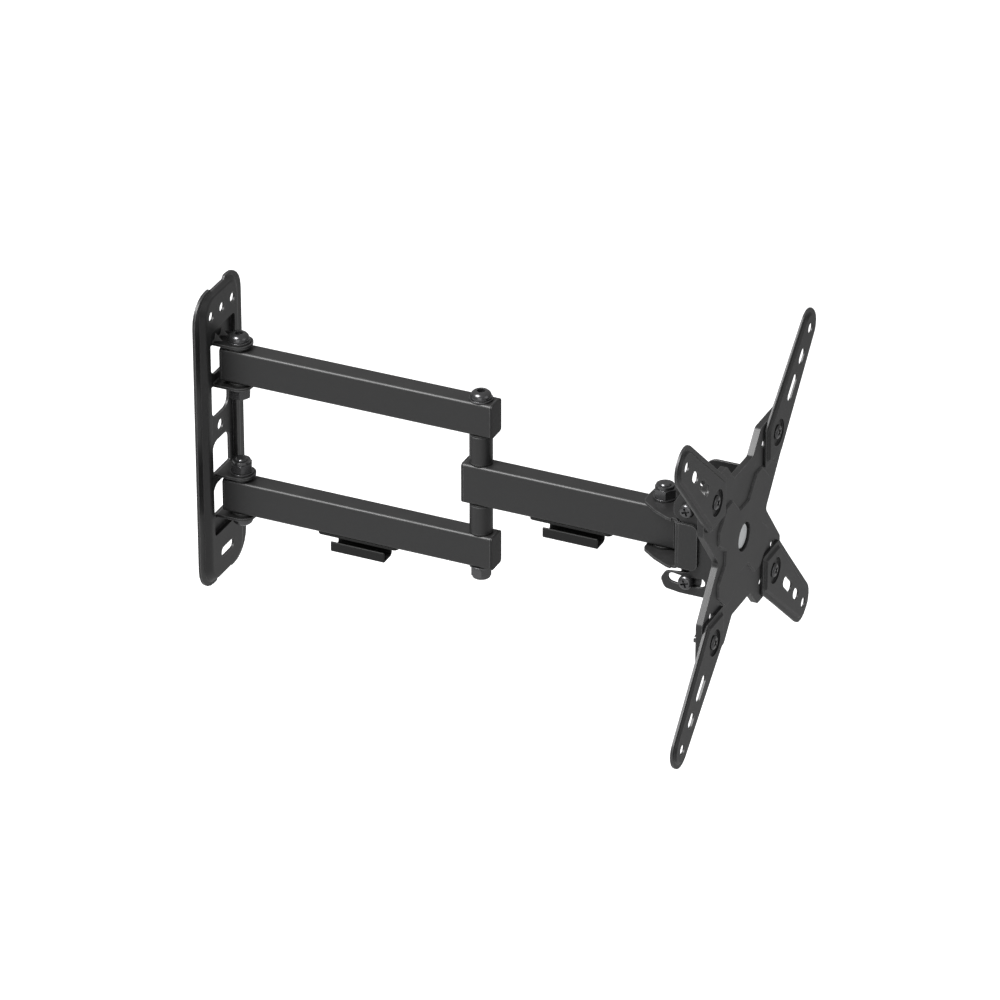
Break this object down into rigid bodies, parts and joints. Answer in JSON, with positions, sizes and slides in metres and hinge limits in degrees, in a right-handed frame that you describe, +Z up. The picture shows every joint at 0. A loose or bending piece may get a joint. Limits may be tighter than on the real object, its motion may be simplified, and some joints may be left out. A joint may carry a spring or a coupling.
{
  "type": "full motion screen wall mount",
  "caption": "Folding wall mount for a flat screen: wall plate, twin inner arms, single forearm, swivelling and tilting head, and a cross plate with long corner arms.",
  "frame": {"origin": "middle wall hole, at the back face of the wall plate", "axes": "+X along the wall to the right as seen from the room, +Y into the wall, +Z up; the arms reach out along -Y"},
  "size_m": [0.2268, 0.3706, 0.2268],
  "materials": {
    "charcoal_steel": "charcoal powder coat, semi-matt, fine texture",
    "black_bolts": "black finished steel, glossy",
    "zinc_steel": "bright zinc plated",
    "black_nylon": "black nylon",
    "black_plastic": "black moulded plastic, fine grain"
  },
  "bodies": {
    "wall": {"wall_plate": "charcoal_steel", "wall_ears": "charcoal_steel", "wall_bolts": "black_bolts", "wall_nuts": "black_bolts", "wall_steel_washers": "black_bolts"},
    "inner_arm": {"wall_nylon_washers": "black_nylon", "upper_arm_tube": "charcoal_steel", "lower_arm_tube": "charcoal_steel", "upper_arm_caps": "black_plastic", "lower_arm_caps": "black_plastic", "inner_arm_sleeves": "zinc_steel", "arm_cable_clip": "black_plastic", "elbow_bolt": "black_bolts", "elbow_nut": "black_bolts", "elbow_steel_washers": "black_bolts", "elbow_spacers": "charcoal_steel", "elbow_nylon_washers": "black_nylon"},
    "forearm": {"forearm_tube": "charcoal_steel", "forearm_caps": "black_plastic", "forearm_sleeves": "zinc_steel", "forearm_cable_clip": "black_plastic"},
    "swivel_head": {"swivel_yoke": "charcoal_steel", "pan_bolt": "black_bolts", "pan_nut": "black_bolts", "pan_steel_washers": "black_bolts", "pan_nylon_washers": "black_nylon", "cheek_bracket": "charcoal_steel", "tilt_pivot_screws": "black_bolts", "tilt_pivot_nuts": "black_bolts", "tilt_lock_screws": "black_bolts", "tilt_lock_nuts": "black_bolts"},
    "tilt_head": {"tilt_bracket": "charcoal_steel", "hub_friction_disc": "black_nylon", "hub_bolt": "zinc_steel", "hub_nut": "black_bolts"},
    "screen_carrier": {"display_plate": "charcoal_steel", "display_arm_upper_right": "charcoal_steel", "display_arm_upper_left": "charcoal_steel", "display_arm_lower_left": "charcoal_steel", "display_arm_lower_right": "charcoal_steel", "display_arm_screws": "black_bolts", "display_arm_nuts": "black_bolts"}
  },
  "joints": [
    {"name": "wall_swing", "type": "hinge", "parent": "wall", "child": "inner_arm", "pos_m": [0, -0.0164, 0], "axis": [0, 0, 1], "range_deg": [-90, 90]},
    {"name": "elbow_fold", "type": "hinge", "parent": "inner_arm", "child": "forearm", "pos_m": [0, -0.1871, 0], "axis": [0, 0, -1], "range_deg": [-145, 145]},
    {"name": "head_pan", "type": "hinge", "parent": "forearm", "child": "swivel_head", "pos_m": [0, -0.3141, 0], "axis": [0, 0, 1], "range_deg": [-90, 90]},
    {"name": "tilt", "type": "hinge", "parent": "swivel_head", "child": "tilt_head", "pos_m": [0, -0.3387, 0.0257], "axis": [1, 0, 0], "range_deg": [-10, 10]},
    {"name": "level", "type": "hinge", "parent": "tilt_head", "child": "screen_carrier", "pos_m": [0, -0.366, 0.002], "axis": [0, -1, 0], "range_deg": [-3, 3]}
  ]
}
